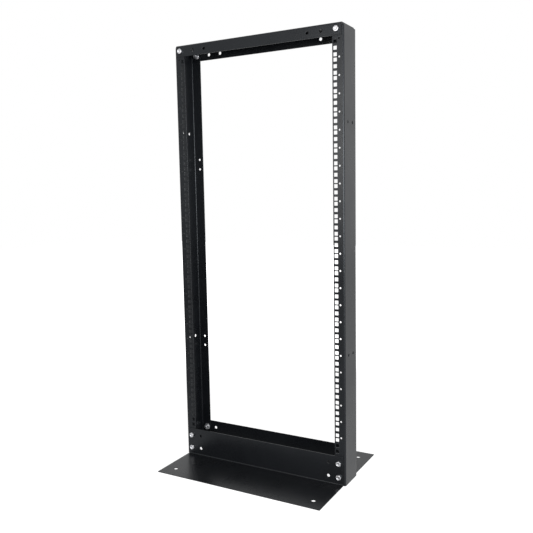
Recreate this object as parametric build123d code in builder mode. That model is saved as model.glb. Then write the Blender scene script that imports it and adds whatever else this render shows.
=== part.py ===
"""Two post open frame rack for 24 units of 19 inch equipment, free standing on two foot plates.

Two channel posts of bent sheet face each other across the equipment opening. A channel bar caps
them, and two base angles clamp their lower ends, all joined by hexagon bolts and nuts. X runs across
the rack, Y from front to back and Z up, with the origin on the floor under the middle of the posts.
"""

import os
from build123d import *

# Sheet metal
sheet = 2.0
bend_inside = 2.5
bend_outside = bend_inside + sheet

# Equipment rails, on the usual unit pitch and column spacing of 19 inch equipment
units = 24
unit_pitch = 44.45
unit_end_hole = 6.35  # from a unit's lower or upper line to its nearest square hole
square_column_inset = 7.55  # from the posts' free flange edge, 465.1 between the columns
square_hole = 9.5
round_column_offset = 10.8  # from a square column outwards to the small round holes
round_hole = 4.8

# Heights of the whole rack
floor_to_first_unit = 86.0
last_unit_to_top = 38.4
top_of_last_unit = floor_to_first_unit + units * unit_pitch
rack_height = top_of_last_unit + last_unit_to_top

# Posts
opening_width = 450.0
flange_width = 31.0
post_depth = 80.0
post_top_clearance = 0.5
web_hole = 8.0
web_hole_spacing = 30.0
web_hole_heights = (349.5, 951.5)
strap_hole = 6.4
strap_hole_spacing = 28.0
strap_pair_heights = (331.5, 863.0)

# Top bar
bar_flange_height = 31.0
bar_end_setback = 5.0  # each end of the bar stops short of the post's outer face
bar_bolt_drop = 16.2
bar_spare_offset = 41.5  # from the bolt column towards the middle
bar_spare_spacing = 38.0

# Base angles
upstand_height = 80.0
upstand_corner = 3.0
foot_reach = 153.0
base_end_setback = 6.0
base_bolt_height = 22.0
base_bolt_spacing = 38.0
base_spare_offset = 30.0
anchor_hole = 11.0
anchor_side_inset = 34.5
anchor_edge_inset = 38.5

# Bolts and nuts
bolt_diameter = 8.0
bolt_length = 16.0
bolt_hole = 8.5
bolt_column_inset = 12.0  # from the posts' free flange edge to the bolts
across_flats = 13.0
head_height = 5.3
nut_height = 8.0
nut_flange = 17.9
nut_flange_height = 1.6
thread_clearance = 0.1

# Places that several pieces share
post_inner_x = opening_width / 2
post_outer_x = post_inner_x + flange_width
post_face_y = post_depth / 2
outer_sheet_y = post_face_y + sheet
post_height = rack_height - sheet - bend_inside - post_top_clearance
bolt_column_x = post_inner_x + bolt_column_inset
square_column_x = post_inner_x + square_column_inset
round_column_x = square_column_x + round_column_offset
bar_bolt_z = rack_height - bar_bolt_drop
base_bolt_heights = (base_bolt_height, base_bolt_height + base_bolt_spacing)
bar_half_length = post_outer_x - bar_end_setback
base_half_length = post_outer_x - base_end_setback
foot_edge_y = post_face_y + foot_reach
anchor_x = base_half_length - anchor_side_inset
anchor_y = foot_edge_y - anchor_edge_inset


def bent_sheet(*corners, side):
    """Section of a bent sheet, drawn in the active sketch.

    Args:
        corners: outer corners of the section, from one free edge to the other.
        side: side of that line on which the sheet lies.
    """
    with BuildLine() as outline:
        FilletPolyline(*corners, radius=bend_outside)
        offset(amount=sheet, side=side)
    make_face(outline.edges())


def cut_holes(view, points, diameter, depth):
    """Cut round holes into the active part.

    Args:
        view: plane that the holes start from, looking along them.
        points: places of the holes on that plane.
        diameter: diameter of each hole.
        depth: how far the holes go in from the plane.
    """
    with Locations(view):
        with Locations(*points):
            Hole(radius=diameter / 2, depth=depth)


def spread(half_width, heights):
    """Points at each height, as far to the left of the middle as to the right."""
    return [(side * half_width, height) for side in (-1, 1) for height in heights]


def hexagon(seat, height):
    """Stand a hexagon of the given height on a plane, in the active part."""
    with BuildSketch(seat) as flats:
        RegularPolygon(radius=across_flats / 2, side_count=6, major_radius=False)
    extrude(flats.sketch, amount=height)


os.makedirs("parts", exist_ok=True)

# Square holes, three to a unit, on the heights of the equipment's own screws
hole_heights_in_unit = (unit_end_hole, unit_pitch / 2, unit_pitch - unit_end_hole)
square_heights = [
    floor_to_first_unit + unit * unit_pitch + height
    for unit in range(units)
    for height in hole_heights_in_unit
]

# One small round hole beside the upper line of each unit
round_heights = [floor_to_first_unit + (unit + 1) * unit_pitch for unit in range(units)]

# Both holes of each strap pair
strap_heights = [
    pair + end * strap_hole_spacing / 2 for pair in strap_pair_heights for end in (-1, 1)
]

# Right post: a channel with its web outwards
with BuildPart() as right_post:
    with BuildSketch() as post_section:
        bent_sheet(
            (post_inner_x, -post_face_y),
            (post_outer_x, -post_face_y),
            (post_outer_x, post_face_y),
            (post_inner_x, post_face_y),
            side=Side.LEFT,
        )
    extrude(amount=post_height)

    with BuildSketch(Plane.XZ.offset(post_face_y)) as rail_holes:
        with Locations(*[(square_column_x, height) for height in square_heights]):
            Rectangle(square_hole, square_hole)
    extrude(amount=-sheet, mode=Mode.SUBTRACT)

    post_front = Plane.XZ.offset(post_face_y)
    post_rear = Plane.XZ.offset(sheet - post_face_y)
    post_side = Plane.YZ.offset(post_outer_x)
    bolt_heights = (*base_bolt_heights, bar_bolt_z)
    cut_holes(post_front, [(round_column_x, height) for height in round_heights], round_hole, sheet)
    cut_holes(post_front, [(bolt_column_x, height) for height in bolt_heights], bolt_hole, post_depth)
    cut_holes(post_rear, [(bolt_column_x, height) for height in strap_heights], strap_hole, sheet)
    cut_holes(post_side, spread(web_hole_spacing / 2, web_hole_heights), web_hole, sheet)

# Left post: the same channel, handed
with BuildPart() as left_post:
    mirror(right_post.part, about=Plane.YZ)

# Top bar: a channel open downwards, whose sides lap over the posts' flanges
with BuildPart() as top_bar:
    with BuildSketch(Plane.YZ) as bar_section:
        bent_sheet(
            (-outer_sheet_y, rack_height - bar_flange_height),
            (-outer_sheet_y, rack_height),
            (outer_sheet_y, rack_height),
            (outer_sheet_y, rack_height - bar_flange_height),
            side=Side.RIGHT,
        )
    extrude(amount=bar_half_length, both=True)

    bar_front = Plane.XZ.offset(outer_sheet_y)
    first_spare_x = bolt_column_x - bar_spare_offset
    bar_hole_columns = (bolt_column_x, first_spare_x, first_spare_x - bar_spare_spacing)
    for column in bar_hole_columns:
        cut_holes(bar_front, spread(column, (bar_bolt_z,)), bolt_hole, 2 * outer_sheet_y)

# Front base angle: an upstand over the posts' flanges and a foot on the floor
with BuildPart() as front_base_angle:
    with BuildSketch(Plane.YZ) as angle_section:
        bent_sheet(
            (-post_face_y, upstand_height),
            (-post_face_y, 0),
            (-foot_edge_y, 0),
            side=Side.RIGHT,
        )
    extrude(amount=base_half_length, both=True)
    upstand_top = front_base_angle.faces().sort_by(Axis.Z)[-1]
    fillet(upstand_top.edges().filter_by(Axis.Y), radius=upstand_corner)

    angle_front = Plane.XZ.offset(outer_sheet_y)
    foot_top = Plane.XY.offset(sheet)
    for column in (bolt_column_x, bolt_column_x - base_spare_offset):
        cut_holes(angle_front, spread(column, base_bolt_heights), bolt_hole, sheet)
    cut_holes(foot_top, spread(anchor_x, (-anchor_y,)), anchor_hole, sheet)

# Rear base angle: the same angle, facing backwards
with BuildPart() as rear_base_angle:
    mirror(front_base_angle.part, about=Plane.XZ)

frame_pieces = {
    "left_post": left_post,
    "right_post": right_post,
    "top_bar": top_bar,
    "front_base_angle": front_base_angle,
    "rear_base_angle": rear_base_angle,
}
for name, piece in frame_pieces.items():
    piece.part.label = name
    export_step(piece.part, f"parts/{name}.step")

# Places of the bolts: one at each end of the bar's sides, two at each end of the upstands
bolt_places = {}
for face, outwards in (("front", -1), ("rear", 1)):
    for hand, column in (("left", -bolt_column_x), ("right", bolt_column_x)):
        bolt_places[f"top_{face}_{hand}"] = (column, outwards, bar_bolt_z)
        for level, height in zip(("lower", "upper"), base_bolt_heights):
            bolt_places[f"base_{face}_{hand}_{level}"] = (column, outwards, height)

for place, (column, outwards, height) in bolt_places.items():
    # Bolt: its head seats on the outer sheet and its end stands through the nut
    head_seat = Plane((column, outwards * outer_sheet_y, height), (1, 0, 0), (0, outwards, 0))
    with BuildPart() as bolt:
        hexagon(head_seat, head_height)
        with BuildSketch(head_seat):
            Circle(bolt_diameter / 2)
        extrude(amount=-bolt_length)
    bolt.part.label = f"{place}_bolt"
    export_step(bolt.part, f"parts/{place}_bolt.step")

    # Nut: its own round flange seats on the inner face of the post's flange
    nut_seat_y = outwards * (post_face_y - sheet)
    nut_seat = Plane((column, nut_seat_y, height), (1, 0, 0), (0, -outwards, 0))
    with BuildPart() as nut:
        with BuildSketch(nut_seat):
            Circle(nut_flange / 2)
        extrude(amount=nut_flange_height)
        hexagon(nut_seat, nut_height)
        with Locations(nut_seat.offset(nut_height)):
            Hole(radius=(bolt_diameter + thread_clearance) / 2, depth=nut_height)
    nut.part.label = f"{place}_nut"
    export_step(nut.part, f"parts/{place}_nut.step")
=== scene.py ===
"""Dresses the two post open frame rack and stands it in a plain white studio.

The posts, top bar and base angles are bent sheet under a black powder coat. Their meshes are the
frame's own, merged and given the soft edges of a coated sheet. Bolts and nuts are turned and pressed
here, the bolts with real threads, in the places that the frame gives.
"""

from __future__ import annotations

import logging
import math
from dataclasses import dataclass, field
from enum import Enum
from typing import Union

import bmesh
import bpy
from mathutils import Matrix, Vector

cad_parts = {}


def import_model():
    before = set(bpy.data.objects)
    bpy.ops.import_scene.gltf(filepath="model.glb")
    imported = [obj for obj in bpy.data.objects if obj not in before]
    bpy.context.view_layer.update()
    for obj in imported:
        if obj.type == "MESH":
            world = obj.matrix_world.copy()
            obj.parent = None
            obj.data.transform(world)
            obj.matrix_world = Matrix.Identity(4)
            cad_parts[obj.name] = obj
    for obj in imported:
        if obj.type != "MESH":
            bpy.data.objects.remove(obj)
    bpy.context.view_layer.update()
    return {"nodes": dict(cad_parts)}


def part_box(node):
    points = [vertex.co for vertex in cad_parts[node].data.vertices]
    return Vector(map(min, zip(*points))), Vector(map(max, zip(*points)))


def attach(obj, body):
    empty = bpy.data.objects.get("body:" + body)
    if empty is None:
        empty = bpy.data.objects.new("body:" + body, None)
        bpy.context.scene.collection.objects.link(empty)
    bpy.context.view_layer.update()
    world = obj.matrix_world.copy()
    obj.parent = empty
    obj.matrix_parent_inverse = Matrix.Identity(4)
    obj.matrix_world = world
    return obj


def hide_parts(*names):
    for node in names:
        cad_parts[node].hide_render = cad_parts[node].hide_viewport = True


Colour = tuple[float, float, float]
Place = tuple[float, float, float]
Station = tuple[float, float]
Span = tuple[float, float]

LOG = logging.getLogger("rack")
MILLIMETRE = 0.001
BODY = "root"
WHITE: Colour = (1.0, 1.0, 1.0)
NOISE_MIDDLE = 0.5
ROUNDING_STEPS = 2
FLAT_ANGLE = math.radians(60)
HALF_FLAT_ANGLE = math.radians(30)


class Arithmetic(Enum):
    """Operations of the Math node that the finishes use."""

    ADD = "ADD"
    SUBTRACT = "SUBTRACT"
    MULTIPLY = "MULTIPLY"
    MAXIMUM = "MAXIMUM"


class Facing(Enum):
    """Side of the rack that a bolt's head is on, as a direction along Y."""

    FRONT = -1
    REAR = 1


class Signal:
    """A number that varies over a surface. Arithmetic on it adds Math nodes."""

    def __init__(self, graph: ShaderGraph, socket: bpy.types.NodeSocket) -> None:
        """Wrap a node's output.

        Args:
            graph: node tree that the socket belongs to.
            socket: output that carries the number.
        """
        self.graph = graph
        self.socket = socket

    def combine(self, operation: Arithmetic, first: Term, second: Term) -> Signal:
        """Add one Math node.

        Args:
            operation: what the node works out.
            first: its first operand.
            second: its second operand.

        Returns:
            The node's result.
        """
        node = self.graph.add("ShaderNodeMath", {"operation": operation.value}, {0: first, 1: second})
        return Signal(self.graph, node.outputs[0])

    def __add__(self, other: Term) -> Signal:
        """Sum of two signals, or of a signal and a number."""
        return self.combine(Arithmetic.ADD, self, other)

    def __radd__(self, other: Term) -> Signal:
        """Sum with the number on the left."""
        return self.combine(Arithmetic.ADD, other, self)

    def __sub__(self, other: Term) -> Signal:
        """Difference of two signals, or of a signal and a number."""
        return self.combine(Arithmetic.SUBTRACT, self, other)

    def __rsub__(self, other: Term) -> Signal:
        """Difference with the number on the left."""
        return self.combine(Arithmetic.SUBTRACT, other, self)

    def __mul__(self, other: Term) -> Signal:
        """Product of two signals, or of a signal and a number."""
        return self.combine(Arithmetic.MULTIPLY, self, other)

    def __rmul__(self, other: Term) -> Signal:
        """Product with the number on the left."""
        return self.combine(Arithmetic.MULTIPLY, other, self)

    def at_least(self, floor: Term) -> Signal:
        """The larger of this signal and another."""
        return self.combine(Arithmetic.MAXIMUM, self, floor)


Term = Union[Signal, float]
Input = Union[Signal, bpy.types.NodeSocket, float, Colour, tuple[float, float, float, float]]


@dataclass(frozen=True)
class Pattern:
    """A noise: its largest waves in a metre, its finer octaves and the weight of those."""

    waves: float
    octaves: float
    fineness: float


class ShaderGraph:
    """The node tree of one material or of the world."""

    COLOUR_A = 6
    COLOUR_B = 7
    COLOUR_RESULT = 2

    def __init__(self, tree: bpy.types.NodeTree) -> None:
        """Take over a tree and empty it.

        Args:
            tree: node tree to fill.
        """
        self.tree = tree
        self.tree.nodes.clear()

    def add(
        self,
        kind: str,
        settings: dict[str, object] | None = None,
        inputs: dict[int | str, Input] | None = None,
    ) -> bpy.types.Node:
        """Add one node.

        Args:
            kind: Blender's name of the node's type.
            settings: properties of the node, set before its sockets.
            inputs: value or link of each socket, by its name or its number.

        Returns:
            The new node.
        """
        node = self.tree.nodes.new(kind)
        for name, value in (settings or {}).items():
            setattr(node, name, value)
        for key, value in (inputs or {}).items():
            if isinstance(value, Signal):
                value = value.socket
            if isinstance(value, bpy.types.NodeSocket):
                self.tree.links.new(value, node.inputs[key])
            else:
                node.inputs[key].default_value = value
        return node

    def noise(self, pattern: Pattern) -> Signal:
        """Noise on the piece's own coordinates.

        Args:
            pattern: size and fineness of its waves.

        Returns:
            A signal around NOISE_MIDDLE.
        """
        values = {
            "Vector": self.add("ShaderNodeTexCoord").outputs["Object"],
            "Scale": pattern.waves,
            "Detail": pattern.octaves,
            "Roughness": pattern.fineness,
        }
        return Signal(self, self.add("ShaderNodeTexNoise", inputs=values).outputs["Fac"])

    def range(self, signal: Signal, low: float, high: float) -> Signal:
        """Spread a part of a signal's range over 0 to 1.

        Args:
            signal: signal to spread.
            low: value that becomes 0.
            high: value that becomes 1.

        Returns:
            The spread signal, eased at both ends.
        """
        settings = {"interpolation_type": "SMOOTHSTEP"}
        values = {"Value": signal, "From Min": low, "From Max": high}
        return Signal(self, self.add("ShaderNodeMapRange", settings, values).outputs["Result"])

    def blend(self, factor: Signal, first: Input, second: Input) -> bpy.types.NodeSocket:
        """Blend two colours.

        Args:
            factor: share of the second colour.
            first: colour at 0.
            second: colour at 1.

        Returns:
            The blended colour.
        """
        values = {0: factor, self.COLOUR_A: first, self.COLOUR_B: second}
        node = self.add("ShaderNodeMix", {"data_type": "RGBA"}, values)
        return node.outputs[self.COLOUR_RESULT]

    def plain_rays(self) -> Signal:
        """Mark the rays that show the white surround as it is.

        Returns:
            1 on rays from the camera, in reflections and through glass, and 0 on the rest.
        """
        rays = self.add("ShaderNodeLightPath").outputs
        camera = Signal(self, rays["Is Camera Ray"])
        glossy = Signal(self, rays["Is Glossy Ray"])
        return camera.at_least(glossy).at_least(Signal(self, rays["Is Transmission Ray"]))


def opaque(colour: Colour) -> tuple[float, float, float, float]:
    """A colour with full alpha, as sockets take it."""
    return (*colour, 1.0)


def new_material(name: str) -> tuple[bpy.types.Material, ShaderGraph]:
    """A material and its empty node tree.

    Args:
        name: name of the material.

    Returns:
        The material, and the graph to fill.
    """
    material = bpy.data.materials.new(name)
    material.use_nodes = True
    return material, ShaderGraph(material.node_tree)


@dataclass(frozen=True)
class PowderCoat:
    """Satin black powder coat, with its fine orange peel, a little dust, and lighter rounded edges: thinner
    coat there, partly a painted highlight.
    """

    slot: str = "black_powder_coat"
    colour: Colour = (0.0038, 0.0044, 0.0055)
    cloudy_colour: Colour = (0.0046, 0.0052, 0.0065)
    # Colour and share of the rounded edges: thinner coat there, partly a painted highlight along the edges.
    thin_edge_and_highlight_colour: Colour = (0.030, 0.031, 0.033)
    thin_edge_and_highlight_share: float = 0.6
    dust_colour: Colour = (0.060, 0.056, 0.050)
    dust_share: float = 0.04
    roughness: float = 0.30
    specular: float = 0.28
    specular_tint: Colour = (0.88, 0.94, 1.0)
    clouds: Pattern = Pattern(waves=9.0, octaves=3.0, fineness=0.55)
    cloud_range: Span = (0.35, 0.7)
    cloud_gloss: float = 0.06
    peel: Pattern = Pattern(waves=620.0, octaves=1.0, fineness=0.4)
    peel_weight: float = 0.75
    peel_gloss: float = 0.05
    grain: Pattern = Pattern(waves=2600.0, octaves=1.0, fineness=0.4)
    grain_weight: float = 0.25
    relief_height: float = 0.035 * MILLIMETRE
    relief_strength: float = 0.25
    specks: Pattern = Pattern(waves=55.0, octaves=5.0, fineness=0.65)
    speck_range: Span = (0.3, 0.75)
    upward_range: Span = (0.6, 1.0)

    def material(self) -> bpy.types.Material:
        """Build the coat's material.

        Returns:
            The material, named after its slot.
        """
        material, graph = new_material(self.slot)
        clouds = graph.range(graph.noise(self.clouds), *self.cloud_range)
        peel = graph.noise(self.peel)
        grain = graph.noise(self.grain)
        coat = graph.blend(clouds, opaque(self.colour), opaque(self.cloudy_colour))
        # The rounded edge strips are painted lighter: thin coat, partly a painted highlight.
        edge = graph.add("ShaderNodeAttribute", {"attribute_name": SheetFrame.EDGE_LAYER})
        thin_and_lit_edge = Signal(graph, edge.outputs["Fac"])
        coat = graph.blend(thin_and_lit_edge * self.thin_edge_and_highlight_share, coat, opaque(self.thin_edge_and_highlight_colour))
        coat = graph.blend(self.dust(graph), coat, opaque(self.dust_colour))
        relief = {
            "Strength": self.relief_strength,
            "Distance": self.relief_height,
            "Height": peel * self.peel_weight + grain * self.grain_weight,
        }
        bump = graph.add("ShaderNodeBump", inputs=relief)
        surface = {
            "Base Color": coat,
            "Roughness": self.roughness
            + (clouds - NOISE_MIDDLE) * self.cloud_gloss
            + (peel - NOISE_MIDDLE) * self.peel_gloss,
            "Specular IOR Level": self.specular,
            "Specular Tint": opaque(self.specular_tint),
            "Normal": bump.outputs["Normal"],
        }
        shader = graph.add("ShaderNodeBsdfPrincipled", inputs=surface)
        graph.add("ShaderNodeOutputMaterial", inputs={"Surface": shader.outputs[0]})
        return material

    def dust(self, graph: ShaderGraph) -> Signal:
        """Share of dust over the coat, only where it faces up.

        Args:
            graph: graph of the coat's material.

        Returns:
            A signal from 0 to the coat's dust_share.
        """
        normal = graph.add("ShaderNodeNewGeometry").outputs["Normal"]
        up = graph.add("ShaderNodeSeparateXYZ", inputs={0: normal}).outputs["Z"]
        specks = graph.range(graph.noise(self.specks), *self.speck_range)
        return graph.range(Signal(graph, up), *self.upward_range) * specks * self.dust_share


@dataclass(frozen=True)
class ZincPlate:
    """Bright zinc plate on rolled and pressed steel, faintly cloudy."""

    slot: str = "zinc_plated_steel"
    colour: Colour = (0.60, 0.61, 0.63)
    cloudy_colour: Colour = (0.48, 0.49, 0.52)
    roughness: float = 0.40
    clouds: Pattern = Pattern(waves=160.0, octaves=3.0, fineness=0.6)
    cloud_range: Span = (0.35, 0.7)
    cloud_gloss: float = 0.05
    grain: Pattern = Pattern(waves=2400.0, octaves=2.0, fineness=0.6)
    grain_gloss: float = 0.04
    relief_height: float = 0.008 * MILLIMETRE
    relief_strength: float = 0.4

    def material(self) -> bpy.types.Material:
        """Build the plate's material.

        Returns:
            The material, named after its slot.
        """
        material, graph = new_material(self.slot)
        clouds = graph.range(graph.noise(self.clouds), *self.cloud_range)
        grain = graph.noise(self.grain)
        relief = {"Strength": self.relief_strength, "Distance": self.relief_height, "Height": grain}
        bump = graph.add("ShaderNodeBump", inputs=relief)
        surface = {
            "Base Color": graph.blend(clouds, opaque(self.colour), opaque(self.cloudy_colour)),
            "Metallic": 1.0,
            "Roughness": self.roughness
            + (clouds - NOISE_MIDDLE) * self.cloud_gloss
            + (grain - NOISE_MIDDLE) * self.grain_gloss,
            "Normal": bump.outputs["Normal"],
        }
        shader = graph.add("ShaderNodeBsdfPrincipled", inputs=surface)
        graph.add("ShaderNodeOutputMaterial", inputs={"Surface": shader.outputs[0]})
        return material


Finish = Union[PowderCoat, ZincPlate]


@dataclass
class Workshop:
    """Turns finished meshes into pieces of the rack, each with its finish, in place of its frame node and
    under the rack's body.
    """

    materials: dict[str, bpy.types.Material] = field(default_factory=dict)
    smooth_under: float = math.radians(50)
    large_face_weight: int = 100

    def finish_with(self, finish: Finish) -> bpy.types.Material:
        """Look up a finish's material, and make it the first time that it is asked for.

        Args:
            finish: finish to look up.

        Returns:
            The finish's material.
        """
        if finish.slot not in self.materials:
            self.materials[finish.slot] = finish.material()
        return self.materials[finish.slot]

    def publish(self, shape: bmesh.types.BMesh, node: str, finish: Finish) -> None:
        """Make a piece that stands for one node of the frame.

        Args:
            shape: finished shape, in the frame's own coordinates. It is freed.
            node: name of the frame's node that the piece replaces.
            finish: what the piece is finished with.
        """
        mesh = bpy.data.meshes.new(f"{node}_finished")
        shape.to_mesh(mesh)
        shape.free()
        stale = mesh.attributes.get("custom_normal")
        if stale is not None:
            mesh.attributes.remove(stale)
        mesh.materials.append(self.finish_with(finish))
        mesh.shade_smooth()
        mesh.set_sharp_from_angle(angle=self.smooth_under)
        piece = bpy.data.objects.new(f"{node}_finished", mesh)
        bpy.context.scene.collection.objects.link(piece)
        shading = piece.modifiers.new("Even shading", "WEIGHTED_NORMAL")
        shading.keep_sharp = True
        shading.weight = self.large_face_weight
        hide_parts(node)
        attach(piece, BODY)
        LOG.info("%s: %d faces, %s", node, len(mesh.polygons), finish.slot)


def soften(shape: bmesh.types.BMesh, radius: float, sharper_than: float, layer: str | None = None) -> None:
    """Round the sharp edges of a shape.

    Args:
        shape: shape to work on.
        radius: size of the rounding.
        sharper_than: least angle between two faces whose edge is rounded.
        layer: name of a face layer that marks the rounded strips, or None.
    """
    mark = shape.faces.layers.float.new(layer) if layer is not None else None
    edges = [edge for edge in shape.edges if edge.is_manifold and edge.calc_face_angle() > sharper_than]
    rounded = bmesh.ops.bevel(
        shape,
        geom=edges,
        offset=radius,
        offset_type="OFFSET",
        segments=ROUNDING_STEPS,
        profile=0.5,
        affect="EDGES",
        clamp_overlap=False,
        material=-1,
    )
    if mark is not None:
        for face in rounded["faces"]:
            face[mark] = 1.0


@dataclass
class SheetFrame:
    """The five bent sheets that carry the rack: two posts, the top bar and two base angles."""

    # Face layer of the rounded edge strips, which the coat paints lighter as thin coat and partly as a
    # painted highlight.
    EDGE_LAYER = "thin_coat_and_highlight"

    nodes: dict[str, bpy.types.Object]
    finish: PowderCoat = PowderCoat()
    sheets: tuple[str, ...] = ("left_post", "right_post", "top_bar", "front_base_angle", "rear_base_angle")
    edge_radius: float = 0.35 * MILLIMETRE
    merge_within: float = 0.01 * MILLIMETRE
    flat_within: float = math.radians(0.5)
    sharp_over: float = math.radians(40)

    def build(self, workshop: Workshop) -> None:
        """Dress every sheet.

        Args:
            workshop: makes the pieces.
        """
        for name in self.sheets:
            workshop.publish(self.coated_sheet(name), name, self.finish)

    def coated_sheet(self, name: str) -> bmesh.types.BMesh:
        """The sheet's solid with the rounded edges that a coat leaves.

        Args:
            name: name of its node in the frame.

        Returns:
            The finished shape.
        """
        shape = bmesh.new()
        shape.from_mesh(self.nodes[name].data)
        bmesh.ops.remove_doubles(shape, verts=shape.verts, dist=self.merge_within)
        bmesh.ops.dissolve_limit(
            shape,
            angle_limit=self.flat_within,
            use_dissolve_boundaries=False,
            verts=shape.verts,
            edges=shape.edges,
            delimit=set(),
        )
        soften(shape, self.edge_radius, self.sharp_over, self.EDGE_LAYER)
        return shape


@dataclass
class Fastening:
    """One bolt with its nut, through two sheets."""

    place: str
    facing: Facing
    turn: float
    finish: ZincPlate = ZincPlate()
    sides: int = 48
    head_height: float = 5.3 * MILLIMETRE
    seat_step: float = 0.4 * MILLIMETRE
    face_share: float = 0.94
    chamfer_slope: float = math.tan(math.radians(30))
    dish_rim: float = 4.3 * MILLIMETRE
    dish_floor: float = 3.4 * MILLIMETRE
    dish_depth: float = 0.9 * MILLIMETRE
    dish_middle: float = 1.5 * MILLIMETRE
    corner_radius: float = 0.18 * MILLIMETRE
    sharp_over: float = math.radians(25)
    thread_pitch: float = 1.25 * MILLIMETRE
    thread_depth: float = 0.72 * MILLIMETRE
    thread_steps: int = 24
    ridge_foot: Span = (1 / 8, 7 / 8)
    ridge_crest: Span = (7 / 16, 9 / 16)
    spare_turns: int = 2
    bore_clearance: float = 0.05 * MILLIMETRE
    countersink: float = 0.45 * MILLIMETRE
    apothem: float = 6.5 * MILLIMETRE
    flange_rim: float = 1.1 * MILLIMETRE
    flange_top: float = 2.1 * MILLIMETRE
    tip_chamfer: float = 1.0 * MILLIMETRE
    tip_inset: float = 0.1 * MILLIMETRE
    shank_radius: float = 4.0 * MILLIMETRE
    weld_within: float = 0.001 * MILLIMETRE
    cut_within: float = 0.0001 * MILLIMETRE
    clearly_past: float = 1.001

    @property
    def corner(self) -> float:
        """Radius of the hexagon's corners."""
        return self.apothem / math.cos(HALF_FLAT_ANGLE)

    @property
    def face(self) -> float:
        """Radius of the round face inside the end chamfer."""
        return self.apothem * self.face_share

    @property
    def root(self) -> float:
        """Radius of the thread's root."""
        return self.shank_radius - self.thread_depth

    def build(self, workshop: Workshop) -> None:
        """Make the bolt and its nut.

        Args:
            workshop: makes the pieces.
        """
        for name, shape_of in ((f"{self.place}_bolt", self.bolt), (f"{self.place}_nut", self.nut)):
            low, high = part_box(name)
            workshop.publish(shape_of(low, high), name, self.finish)

    def bolt(self, low: Vector, high: Vector) -> bmesh.types.BMesh:
        """A bolt with a pressed head and a rolled thread up to it.

        Args:
            low: lowest corner of the bolt's box in the frame.
            high: highest corner of that box.

        Returns:
            The finished shape, in its place.
        """
        top = self.head_height
        profile = [
            (0.0, top - self.dish_middle),
            (self.dish_floor, top - self.dish_depth),
            (self.dish_rim, top),
            (self.face, top),
            (self.corner, top),
            (self.corner, self.seat_step),
            (self.face, self.seat_step),
            (self.face, 0.0),
            (0.0, 0.0),
        ]
        shape = self.turned(profile, closed=False)
        self.press_flats(shape, 0.0, top)
        soften(shape, self.corner_radius, self.sharp_over)
        self.add_thread(shape, high.y - low.y - self.head_height)
        self.put_in_place(shape, low, high, self.facing.value, self.head_height)
        return shape

    def nut(self, low: Vector, high: Vector) -> bmesh.types.BMesh:
        """A nut on its own round flange, with turned corners and a countersunk bore.

        Args:
            low: lowest corner of the nut's box in the frame.
            high: highest corner of that box.

        Returns:
            The finished shape, in its place.
        """
        height = high.y - low.y
        flange = (high.z - low.z) / 2
        bore = self.shank_radius + self.bore_clearance
        mouth = bore + self.countersink
        profile = [
            (bore, self.countersink),
            (mouth, 0.0),
            (flange, 0.0),
            (flange, self.flange_rim),
            (self.corner, self.flange_top),
            (self.corner, height),
            (self.face, height),
            (mouth, height),
            (bore, height - self.countersink),
        ]
        shape = self.turned(profile, closed=True)
        self.press_flats(shape, self.flange_rim, height)
        soften(shape, self.corner_radius, self.sharp_over)
        self.put_in_place(shape, low, high, -self.facing.value, height)
        return shape

    def turned(self, profile: list[Station], closed: bool) -> bmesh.types.BMesh:
        """Turn a profile about the Z axis.

        Args:
            profile: radius and height of each point.
            closed: whether its last point joins its first.

        Returns:
            The turned shape.
        """
        shape = bmesh.new()
        points = [shape.verts.new((radius, 0.0, height)) for radius, height in profile]
        pairs = list(zip(points, points[1:]))
        if closed:
            pairs.append((points[-1], points[0]))
        lines = [shape.edges.new(pair) for pair in pairs]
        bmesh.ops.spin(
            shape,
            geom=points + lines,
            cent=(0.0, 0.0, 0.0),
            axis=(0.0, 0.0, 1.0),
            angle=math.tau,
            steps=self.sides,
            use_merge=True,
            use_duplicate=False,
        )
        bmesh.ops.remove_doubles(shape, verts=shape.verts, dist=self.weld_within)
        bmesh.ops.recalc_face_normals(shape, faces=shape.faces)
        return shape

    def press_flats(self, shape: bmesh.types.BMesh, above: float, top: float) -> None:
        """Press the six flats into a turned blank, so that its end chamfer rises between the corners.

        Args:
            shape: blank whose widest rings are to be pressed.
            above: height that the pressed rings are above.
            top: height of the chamfered end.
        """
        for vert in shape.verts:
            radius = math.hypot(vert.co.x, vert.co.y)
            if radius <= self.face * self.clearly_past or vert.co.z <= above * self.clearly_past:
                continue
            off_flat = math.atan2(vert.co.y, vert.co.x) % FLAT_ANGLE - HALF_FLAT_ANGLE
            pressed = self.apothem / math.cos(off_flat)
            vert.co.x *= pressed / radius
            vert.co.y *= pressed / radius
            if top - vert.co.z < self.seat_step / 2:
                vert.co.z -= (pressed - self.face) * self.chamfer_slope

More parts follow.
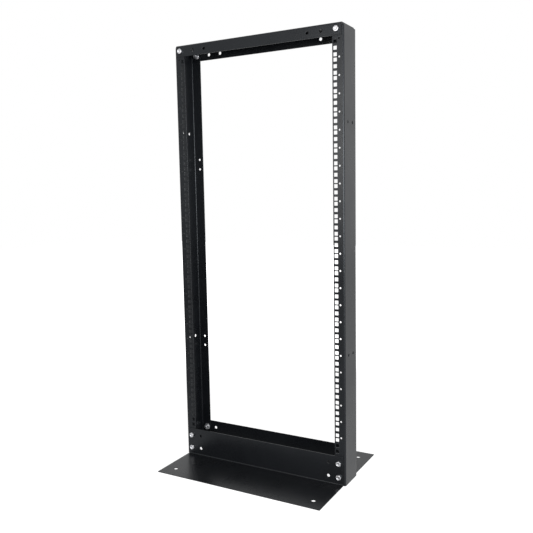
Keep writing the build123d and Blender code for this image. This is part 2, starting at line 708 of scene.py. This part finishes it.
    def add_thread(self, shape: bmesh.types.BMesh, length: float) -> None:
        """Add the threaded shank below the head.

        Args:
            shape: shape that the shank is added to.
            length: how far the shank reaches below the head's seat.
        """
        pitch = self.thread_pitch
        inside_head = self.head_height / 2
        start = -length - self.spare_turns * pitch
        turns = math.ceil((inside_head - start) / pitch) + 1
        thread = bmesh.new()
        ridge = [
            (self.root, 0.0),
            (self.root, pitch * self.ridge_foot[0]),
            (self.shank_radius, pitch * self.ridge_crest[0]),
            (self.shank_radius, pitch * self.ridge_crest[1]),
            (self.root, pitch * self.ridge_foot[1]),
            (self.root, pitch),
        ]
        points = [thread.verts.new((radius, 0.0, start + rise)) for radius, rise in ridge]
        lines = [thread.edges.new(pair) for pair in zip(points, points[1:])]
        bmesh.ops.spin(
            thread,
            geom=points + lines,
            cent=(0.0, 0.0, 0.0),
            axis=(0.0, 0.0, 1.0),
            dvec=(0.0, 0.0, pitch / self.thread_steps),
            angle=math.tau * turns,
            steps=self.thread_steps * turns,
            use_merge=False,
            use_duplicate=False,
        )
        bmesh.ops.remove_doubles(thread, verts=thread.verts, dist=self.weld_within)
        for height, outwards in ((-length, -1.0), (inside_head, 1.0)):
            bmesh.ops.bisect_plane(
                thread,
                geom=thread.verts[:] + thread.edges[:] + thread.faces[:],
                dist=self.cut_within,
                plane_co=(0.0, 0.0, height),
                plane_no=(0.0, 0.0, outwards),
                clear_outer=True,
            )
        rims = [edge for edge in thread.edges if edge.is_boundary]
        bmesh.ops.holes_fill(thread, edges=rims, sides=0)
        for vert in thread.verts:
            radius = math.hypot(vert.co.x, vert.co.y)
            limit = self.root - self.tip_inset + vert.co.z + length
            if vert.co.z < self.tip_chamfer - length and radius > limit:
                vert.co.x *= limit / radius
                vert.co.y *= limit / radius
        bmesh.ops.recalc_face_normals(thread, faces=thread.faces)
        rolled = bpy.data.meshes.new("rolled_thread")
        thread.to_mesh(rolled)
        thread.free()
        shape.from_mesh(rolled)
        bpy.data.meshes.remove(rolled)

    def put_in_place(
        self, shape: bmesh.types.BMesh, low: Vector, high: Vector, outwards: int, height: float
    ) -> None:
        """Turn a shape from its own Z axis to its place in the rack.

        Args:
            shape: shape whose seat is at Z zero and whose face looks along Z.
            low: lowest corner of its box in the frame.
            high: highest corner of that box.
            outwards: direction along Y in which its face looks.
            height: how far its face stands off its seat.
        """
        face_y = high.y if outwards > 0 else low.y
        middle = (low + high) / 2
        across = Vector((-outwards, 0.0, 0.0))
        upwards = Vector((0.0, 0.0, 1.0))
        along = Vector((0.0, outwards, 0.0))
        axes = Matrix((across, upwards, along)).transposed().to_4x4()
        seat = Matrix.Translation((middle.x, face_y - outwards * height, middle.z))
        place = seat @ axes @ Matrix.Rotation(self.turn, 4, "Z")
        bmesh.ops.transform(shape, matrix=place, verts=shape.verts)


@dataclass
class Fasteners:
    """All the rack's bolts and nuts, at the top bar and at the base angles, with their turns in degrees."""

    turns: dict[str, float] = field(
        default_factory=lambda: {
            "top_front_right": 0.0,
            "top_front_left": 12.0,
            "base_front_right_upper": 30.0,
            "base_front_right_lower": 6.0,
            "base_front_left_upper": 20.0,
            "base_front_left_lower": 44.0,
            "top_rear_right": 17.0,
            "top_rear_left": 51.0,
            "base_rear_right_upper": 9.0,
            "base_rear_right_lower": 36.0,
            "base_rear_left_upper": 27.0,
            "base_rear_left_lower": 3.0,
        }
    )

    def build(self, workshop: Workshop) -> None:
        """Make every bolt with its nut.

        Args:
            workshop: makes the pieces.
        """
        for place, degrees in self.turns.items():
            facing = Facing.FRONT if "_front_" in place else Facing.REAR
            Fastening(place, facing, math.radians(degrees)).build(workshop)


@dataclass(frozen=True)
class SoftBox:
    """A rectangular lamp with an even face."""

    name: str
    place: Place
    aim: Place
    width: float
    height: float
    radiance: float
    colour: Colour = WHITE

    def build(self) -> None:
        """Hang the lamp, out of the camera's sight."""
        lamp = bpy.data.lights.new(self.name, "AREA")
        lamp.shape = "RECTANGLE"
        lamp.size = self.width
        lamp.size_y = self.height
        lamp.energy = self.radiance * self.width * self.height * math.pi
        lamp.color = self.colour
        box = bpy.data.objects.new(self.name, lamp)
        bpy.context.scene.collection.objects.link(box)
        towards = Vector(self.aim) - Vector(self.place)
        facing = towards.to_track_quat("-Z", "Y").to_matrix().to_4x4()
        box.matrix_world = Matrix.Translation(self.place) @ facing
        box.visible_camera = False


@dataclass
class Studio:
    """White floor and surround, with soft boxes in front, on the right and behind."""

    floor_size: float = 14.0
    floor_colour: Colour = (0.70, 0.70, 0.70)
    lift_strength: float = 1.72
    least_seen: float = 0.52
    mirrored: float = 0.42
    floor_around: Span = (0.45, 1.5)
    floor_in_front: Span = (-0.8, -0.1)
    surround_light: float = 0.3
    soft_boxes: tuple[SoftBox, ...] = (
        SoftBox(
            name="key_softbox",
            place=(-0.25, -2.0, 1.06),
            aim=(-0.25, 0.0, 1.06),
            width=0.8,
            height=0.85,
            radiance=7.0,
            colour=(1.0, 0.93, 0.87),
        ),
        SoftBox(
            name="side_softbox",
            place=(1.81, -1.6, 0.88),
            aim=(0.25, -0.04, 0.88),
            width=2.4,
            height=0.95,
            radiance=11.0,
        ),
        SoftBox(
            name="rim_softbox",
            place=(1.25, 2.35, 1.25),
            aim=(0.25, 0.0, 1.1),
            width=1.6,
            height=1.6,
            radiance=0.12,
        ),
    )

    def build(self) -> None:
        """Build the floor, the surround and the lamps."""
        self.add_floor()
        self.light_surround()
        for box in self.soft_boxes:
            box.build()

    def add_floor(self) -> None:
        """A plain floor that shows white and keeps the rack's shadow.

        Its lift grows away from the rack for the camera, and from the front to the back in reflections.
        """
        shape = bmesh.new()
        bmesh.ops.create_grid(shape, x_segments=1, y_segments=1, size=self.floor_size / 2)
        mesh = bpy.data.meshes.new("studio_floor")
        shape.to_mesh(mesh)
        shape.free()
        material, graph = new_material("studio_floor")
        matt = graph.add("ShaderNodeBsdfDiffuse", inputs={"Color": opaque(self.floor_colour)})
        glow = graph.add("ShaderNodeEmission", inputs={"Strength": self.lift_strength})
        place = graph.add("ShaderNodeTexCoord").outputs["Object"]
        away = graph.add("ShaderNodeVectorMath", {"operation": "LENGTH"}, {0: place}).outputs["Value"]
        along = graph.add("ShaderNodeSeparateXYZ", inputs={0: place}).outputs["Y"]
        camera = Signal(graph, graph.add("ShaderNodeLightPath").outputs["Is Camera Ray"])
        seen = graph.range(Signal(graph, away), *self.floor_around).at_least(self.least_seen)
        mirrored = graph.range(Signal(graph, along), *self.floor_in_front) * self.mirrored
        share = mirrored + camera * (seen - mirrored)
        lift = {0: share * graph.plain_rays(), 1: matt.outputs[0], 2: glow.outputs[0]}
        mixed = graph.add("ShaderNodeMixShader", inputs=lift)
        graph.add("ShaderNodeOutputMaterial", inputs={"Surface": mixed.outputs[0]})
        mesh.materials.append(material)
        floor = bpy.data.objects.new("studio_floor", mesh)
        bpy.context.scene.collection.objects.link(floor)

    def light_surround(self) -> None:
        """A white world that lights the rack at a plain level."""
        world = bpy.data.worlds.new("studio_surround")
        world.use_nodes = True
        bpy.context.scene.world = world
        graph = ShaderGraph(world.node_tree)
        strength = self.surround_light + graph.plain_rays() * (1.0 - self.surround_light)
        glow = {"Color": opaque(WHITE), "Strength": strength}
        white = graph.add("ShaderNodeBackground", inputs=glow)
        graph.add("ShaderNodeOutputWorld", inputs={"Surface": white.outputs[0]})


@dataclass
class Viewpoint:
    """The photograph's camera."""

    place: Place = (0.8992, -1.5930, 0.7823)
    heading: float = math.radians(29.308)
    pitch_down: float = math.radians(6.547)
    roll: float = math.radians(-1.045)
    lens: float = 44.55
    sensor: float = 36.0
    nearest: float = 0.01

    def build(self) -> None:
        """Add the camera and look through it."""
        camera = bpy.data.cameras.new("photo_camera")
        camera.lens = self.lens
        camera.sensor_width = self.sensor
        camera.clip_start = self.nearest
        viewer = bpy.data.objects.new("photo_camera", camera)
        bpy.context.scene.collection.objects.link(viewer)
        viewer.matrix_world = self.pose()
        bpy.context.scene.camera = viewer

    def pose(self) -> Matrix:
        """Work out where the camera stands and how it is turned.

        Returns:
            The camera's place and turn, as one matrix.
        """
        level = math.cos(self.pitch_down)
        forward = Vector(
            (-math.sin(self.heading) * level, math.cos(self.heading) * level, -math.sin(self.pitch_down))
        )
        right = Vector((math.cos(self.heading), math.sin(self.heading), 0.0))
        up = right.cross(forward)
        turned_right = math.cos(self.roll) * right + math.sin(self.roll) * up
        turned_up = math.cos(self.roll) * up - math.sin(self.roll) * right
        axes = Matrix((turned_right, turned_up, -forward)).transposed().to_4x4()
        return Matrix.Translation(self.place) @ axes


def main() -> None:
    """Build the rack's pieces, the studio and the camera in order."""
    logging.basicConfig(level=logging.INFO, format="%(name)s: %(message)s")
    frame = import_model()
    workshop = Workshop()
    SheetFrame(frame["nodes"]).build(workshop)
    Fasteners().build(workshop)
    Studio().build()
    Viewpoint().build()
    bpy.context.scene.view_settings.view_transform = "Standard"


if __name__ == "__main__":
    main()
